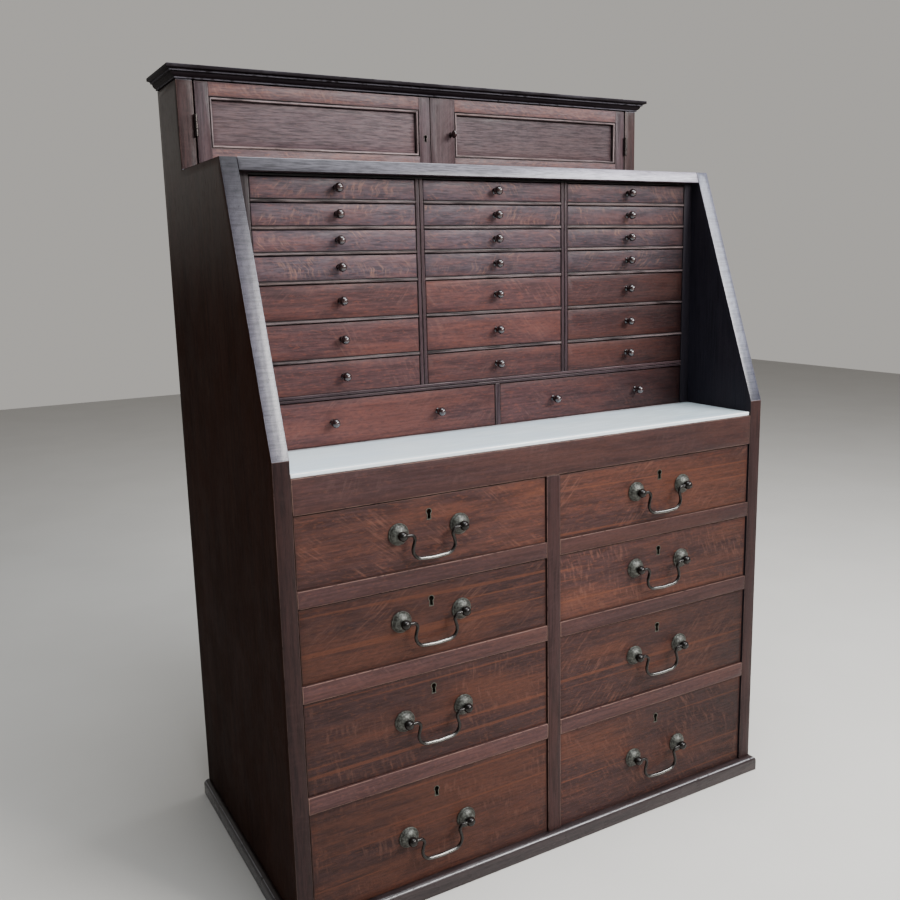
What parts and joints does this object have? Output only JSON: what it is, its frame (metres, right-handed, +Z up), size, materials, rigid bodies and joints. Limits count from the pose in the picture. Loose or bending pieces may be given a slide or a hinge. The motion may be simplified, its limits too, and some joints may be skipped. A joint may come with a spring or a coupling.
{
  "type": "dental cabinet",
  "caption": "Stained oak dental cabinet: chest of drawers with drop handles, opal glass worktop, sloped nest of small drawers and a cupboard with framed doors.",
  "frame": {"origin": "bottom centre of the cabinet's box, on the floor", "axes": "+X to the right, the front looks along -Y, +Z up"},
  "size_m": [0.9464, 0.4928, 1.2834],
  "materials": {
    "oak_frame": "satin stained oak",
    "oak_drawer": "satin stained oak",
    "dark_oak": "satin dark stained oak",
    "pale_oak": "worn oak",
    "opal_glass": "polished opal glass",
    "aged_brass": "aged with a green-grey patina",
    "ebonised_wood": "polished dark turned wood"
  },
  "bodies": {
    "case": {"apron_rail": "oak_frame", "back_panel": "dark_oak", "base_board": "oak_frame", "carcass_top": "oak_frame", "centre_muntin": "oak_frame", "cornice": "dark_oak", "drawer_rail_1": "oak_frame", "drawer_rail_2": "oak_frame", "drawer_rail_3": "oak_frame", "hinge_case_left": "aged_brass", "hinge_case_right": "aged_brass", "nest_frame": "oak_frame", "nest_top": "pale_oak", "side_left": "dark_oak", "side_right": "dark_oak", "worktop_slab": "opal_glass"},
    "big_drawer_left_1": {"big_drawer_left_1": "oak_drawer"},
    "big_drawer_left_2": {"big_drawer_left_2": "oak_drawer"},
    "big_drawer_left_3": {"big_drawer_left_3": "oak_drawer"},
    "big_drawer_left_4": {"big_drawer_left_4": "oak_drawer"},
    "big_drawer_right_1": {"big_drawer_right_1": "oak_drawer"},
    "big_drawer_right_2": {"big_drawer_right_2": "oak_drawer"},
    "big_drawer_right_3": {"big_drawer_right_3": "oak_drawer"},
    "big_drawer_right_4": {"big_drawer_right_4": "oak_drawer"},
    "small_drawer_1_1": {"small_drawer_1_1": "oak_drawer"},
    "small_drawer_1_2": {"small_drawer_1_2": "oak_drawer"},
    "small_drawer_1_3": {"small_drawer_1_3": "oak_drawer"},
    "small_drawer_2_1": {"small_drawer_2_1": "oak_drawer"},
    "small_drawer_2_2": {"small_drawer_2_2": "oak_drawer"},
    "small_drawer_2_3": {"small_drawer_2_3": "oak_drawer"},
    "small_drawer_3_1": {"small_drawer_3_1": "oak_drawer"},
    "small_drawer_3_2": {"small_drawer_3_2": "oak_drawer"},
    "small_drawer_3_3": {"small_drawer_3_3": "oak_drawer"},
    "small_drawer_4_1": {"small_drawer_4_1": "oak_drawer"},
    "small_drawer_4_2": {"small_drawer_4_2": "oak_drawer"},
    "small_drawer_4_3": {"small_drawer_4_3": "oak_drawer"},
    "small_drawer_5_1": {"small_drawer_5_1": "oak_drawer"},
    "small_drawer_5_2": {"small_drawer_5_2": "oak_drawer"},
    "small_drawer_5_3": {"small_drawer_5_3": "oak_drawer"},
    "small_drawer_6_1": {"small_drawer_6_1": "oak_drawer"},
    "small_drawer_6_2": {"small_drawer_6_2": "oak_drawer"},
    "small_drawer_6_3": {"small_drawer_6_3": "oak_drawer"},
    "small_drawer_7_1": {"small_drawer_7_1": "oak_drawer"},
    "small_drawer_7_2": {"small_drawer_7_2": "oak_drawer"},
    "small_drawer_7_3": {"small_drawer_7_3": "oak_drawer"},
    "wide_drawer_left": {"wide_drawer_left": "oak_drawer"},
    "wide_drawer_right": {"wide_drawer_right": "oak_drawer"},
    "bail_left_1": {"bail_left_1": "aged_brass"},
    "bail_left_2": {"bail_left_2": "aged_brass"},
    "bail_left_3": {"bail_left_3": "aged_brass"},
    "bail_left_4": {"bail_left_4": "aged_brass"},
    "bail_right_1": {"bail_right_1": "aged_brass"},
    "bail_right_2": {"bail_right_2": "aged_brass"},
    "bail_right_3": {"bail_right_3": "aged_brass"},
    "bail_right_4": {"bail_right_4": "aged_brass"},
    "door_left": {"door_left": "oak_frame", "hinge_door_left": "aged_brass"},
    "door_right": {"door_right": "oak_frame", "hinge_door_right": "aged_brass", "door_knob": "ebonised_wood"}
  },
  "joints": [
    {"name": "door_left_hinge", "type": "hinge", "parent": "case", "child": "door_left", "pos_m": [-0.4303, 0.1205, 1.1952], "axis": [0, 0, -1], "range_deg": [0, 105]},
    {"name": "door_right_hinge", "type": "hinge", "parent": "case", "child": "door_right", "pos_m": [0.4303, 0.1205, 1.1952], "axis": [0, 0, 1], "range_deg": [0, 105]},
    {"name": "bail_left_1_hinge", "type": "hinge", "parent": "big_drawer_left_1", "child": "bail_left_1", "pos_m": [-0.22212, -0.2409, 0.59095], "axis": [-1, 0, 0], "range_deg": [-12, 110]},
    {"name": "bail_left_2_hinge", "type": "hinge", "parent": "big_drawer_left_2", "child": "bail_left_2", "pos_m": [-0.22212, -0.2409, 0.4573], "axis": [-1, 0, 0], "range_deg": [-12, 110]},
    {"name": "bail_left_3_hinge", "type": "hinge", "parent": "big_drawer_left_3", "child": "bail_left_3", "pos_m": [-0.22212, -0.2409, 0.3002], "axis": [-1, 0, 0], "range_deg": [-12, 110]},
    {"name": "bail_left_4_hinge", "type": "hinge", "parent": "big_drawer_left_4", "child": "bail_left_4", "pos_m": [-0.22212, -0.2409, 0.1081], "axis": [-1, 0, 0], "range_deg": [-12, 110]},
    {"name": "bail_right_1_hinge", "type": "hinge", "parent": "big_drawer_right_1", "child": "bail_right_1", "pos_m": [0.22212, -0.2409, 0.59095], "axis": [-1, 0, 0], "range_deg": [-12, 110]},
    {"name": "bail_right_2_hinge", "type": "hinge", "parent": "big_drawer_right_2", "child": "bail_right_2", "pos_m": [0.22212, -0.2409, 0.4573], "axis": [-1, 0, 0], "range_deg": [-12, 110]},
    {"name": "bail_right_3_hinge", "type": "hinge", "parent": "big_drawer_right_3", "child": "bail_right_3", "pos_m": [0.22212, -0.2409, 0.3002], "axis": [-1, 0, 0], "range_deg": [-12, 110]},
    {"name": "bail_right_4_hinge", "type": "hinge", "parent": "big_drawer_right_4", "child": "bail_right_4", "pos_m": [0.22212, -0.2409, 0.1081], "axis": [-1, 0, 0], "range_deg": [-12, 110]},
    {"name": "wide_drawer_left_slide", "type": "slide", "parent": "case", "child": "wide_drawer_left", "axis": [0, -1, 0], "range_m": [0, 0.23]},
    {"name": "wide_drawer_right_slide", "type": "slide", "parent": "case", "child": "wide_drawer_right", "axis": [0, -1, 0], "range_m": [0, 0.23]},
    {"name": "big_drawer_left_1_slide", "type": "slide", "parent": "case", "child": "big_drawer_left_1", "axis": [0, -1, 0], "range_m": [0, 0.33]},
    {"name": "big_drawer_left_2_slide", "type": "slide", "parent": "case", "child": "big_drawer_left_2", "axis": [0, -1, 0], "range_m": [0, 0.33]},
    {"name": "big_drawer_left_3_slide", "type": "slide", "parent": "case", "child": "big_drawer_left_3", "axis": [0, -1, 0], "range_m": [0, 0.33]},
    {"name": "big_drawer_left_4_slide", "type": "slide", "parent": "case", "child": "big_drawer_left_4", "axis": [0, -1, 0], "range_m": [0, 0.33]},
    {"name": "big_drawer_right_1_slide", "type": "slide", "parent": "case", "child": "big_drawer_right_1", "axis": [0, -1, 0], "range_m": [0, 0.33]},
    {"name": "big_drawer_right_2_slide", "type": "slide", "parent": "case", "child": "big_drawer_right_2", "axis": [0, -1, 0], "range_m": [0, 0.33]},
    {"name": "big_drawer_right_3_slide", "type": "slide", "parent": "case", "child": "big_drawer_right_3", "axis": [0, -1, 0], "range_m": [0, 0.33]},
    {"name": "big_drawer_right_4_slide", "type": "slide", "parent": "case", "child": "big_drawer_right_4", "axis": [0, -1, 0], "range_m": [0, 0.33]},
    {"name": "small_drawer_1_1_slide", "type": "slide", "parent": "case", "child": "small_drawer_1_1", "axis": [0, -1, 0], "range_m": [0, 0.23]},
    {"name": "small_drawer_1_2_slide", "type": "slide", "parent": "case", "child": "small_drawer_1_2", "axis": [0, -1, 0], "range_m": [0, 0.23]},
    {"name": "small_drawer_1_3_slide", "type": "slide", "parent": "case", "child": "small_drawer_1_3", "axis": [0, -1, 0], "range_m": [0, 0.23]},
    {"name": "small_drawer_2_1_slide", "type": "slide", "parent": "case", "child": "small_drawer_2_1", "axis": [0, -1, 0], "range_m": [0, 0.23]},
    {"name": "small_drawer_2_2_slide", "type": "slide", "parent": "case", "child": "small_drawer_2_2", "axis": [0, -1, 0], "range_m": [0, 0.23]},
    {"name": "small_drawer_2_3_slide", "type": "slide", "parent": "case", "child": "small_drawer_2_3", "axis": [0, -1, 0], "range_m": [0, 0.23]},
    {"name": "small_drawer_3_1_slide", "type": "slide", "parent": "case", "child": "small_drawer_3_1", "axis": [0, -1, 0], "range_m": [0, 0.23]},
    {"name": "small_drawer_3_2_slide", "type": "slide", "parent": "case", "child": "small_drawer_3_2", "axis": [0, -1, 0], "range_m": [0, 0.23]},
    {"name": "small_drawer_3_3_slide", "type": "slide", "parent": "case", "child": "small_drawer_3_3", "axis": [0, -1, 0], "range_m": [0, 0.23]},
    {"name": "small_drawer_4_1_slide", "type": "slide", "parent": "case", "child": "small_drawer_4_1", "axis": [0, -1, 0], "range_m": [0, 0.23]},
    {"name": "small_drawer_4_2_slide", "type": "slide", "parent": "case", "child": "small_drawer_4_2", "axis": [0, -1, 0], "range_m": [0, 0.23]},
    {"name": "small_drawer_4_3_slide", "type": "slide", "parent": "case", "child": "small_drawer_4_3", "axis": [0, -1, 0], "range_m": [0, 0.23]},
    {"name": "small_drawer_5_1_slide", "type": "slide", "parent": "case", "child": "small_drawer_5_1", "axis": [0, -1, 0], "range_m": [0, 0.23]},
    {"name": "small_drawer_5_2_slide", "type": "slide", "parent": "case", "child": "small_drawer_5_2", "axis": [0, -1, 0], "range_m": [0, 0.23]},
    {"name": "small_drawer_5_3_slide", "type": "slide", "parent": "case", "child": "small_drawer_5_3", "axis": [0, -1, 0], "range_m": [0, 0.23]},
    {"name": "small_drawer_6_1_slide", "type": "slide", "parent": "case", "child": "small_drawer_6_1", "axis": [0, -1, 0], "range_m": [0, 0.23]},
    {"name": "small_drawer_6_2_slide", "type": "slide", "parent": "case", "child": "small_drawer_6_2", "axis": [0, -1, 0], "range_m": [0, 0.23]},
    {"name": "small_drawer_6_3_slide", "type": "slide", "parent": "case", "child": "small_drawer_6_3", "axis": [0, -1, 0], "range_m": [0, 0.23]},
    {"name": "small_drawer_7_1_slide", "type": "slide", "parent": "case", "child": "small_drawer_7_1", "axis": [0, -1, 0], "range_m": [0, 0.23]},
    {"name": "small_drawer_7_2_slide", "type": "slide", "parent": "case", "child": "small_drawer_7_2", "axis": [0, -1, 0], "range_m": [0, 0.23]},
    {"name": "small_drawer_7_3_slide", "type": "slide", "parent": "case", "child": "small_drawer_7_3", "axis": [0, -1, 0], "range_m": [0, 0.23]}
  ]
}
